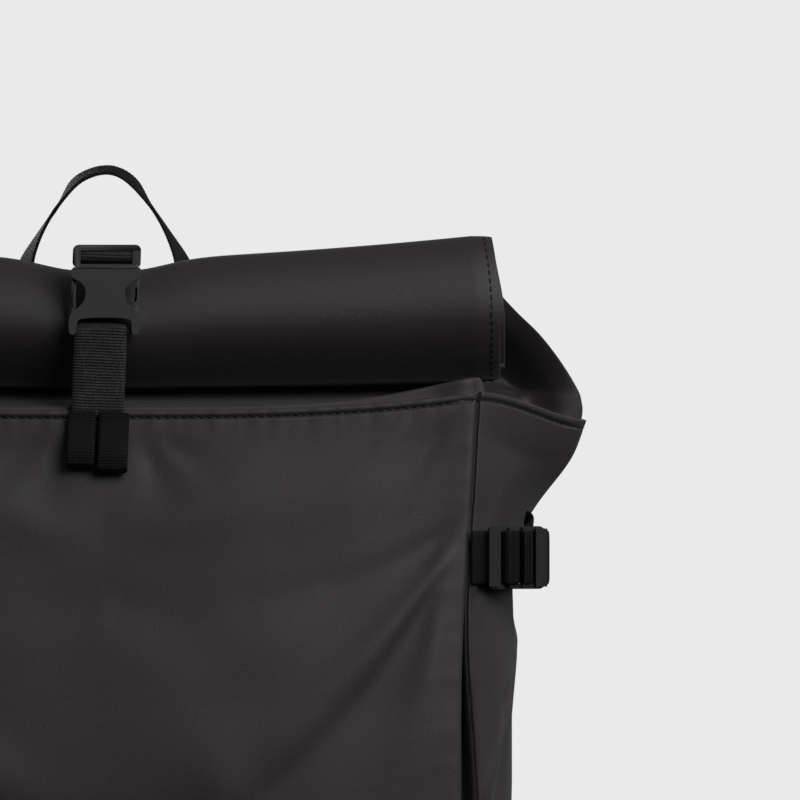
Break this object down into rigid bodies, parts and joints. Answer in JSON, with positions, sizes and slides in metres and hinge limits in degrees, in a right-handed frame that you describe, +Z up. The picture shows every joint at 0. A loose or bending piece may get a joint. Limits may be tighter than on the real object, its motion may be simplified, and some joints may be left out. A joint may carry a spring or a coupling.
{
  "type": "rolltop backpack",
  "caption": "Closed roll-top backpack in coated cloth with a buckled front strap, side compression straps, grab handle and shoulder straps.",
  "frame": {"origin": "middle of the bag's outline, seen from above, on the surface that it stands on", "axes": "+Z up, the front with its buckle faces -Y, the shoulder straps are on the +Y side, +X is the wearer's right"},
  "size_m": [0.373, 0.1724, 0.467],
  "materials": {
    "coated_cloth": "matte coated weave",
    "webbing": "ribbed weave",
    "plastic": "satin moulded",
    "padding": "matte mesh over foam"
  },
  "bodies": {
    "root": {"front_panel": "coated_cloth", "side_gusset_right": "coated_cloth", "side_gusset_left": "coated_cloth", "back_panel": "coated_cloth", "base_panel": "coated_cloth", "collar": "coated_cloth", "closure_strap_upper": "webbing", "closure_strap_lower": "webbing", "buckle_male": "plastic", "buckle_female": "plastic", "grab_handle": "webbing", "front_loop_right": "webbing", "front_loop_left": "webbing", "side_slider_right": "plastic", "side_slider_left": "plastic", "side_strap_front_right": "webbing", "side_strap_front_left": "webbing", "side_strap_rear_right": "webbing", "side_strap_rear_left": "webbing", "shoulder_pad_right": "padding", "shoulder_pad_left": "padding", "shoulder_web_right": "webbing", "shoulder_web_left": "webbing"}
  },
  "joints": []
}
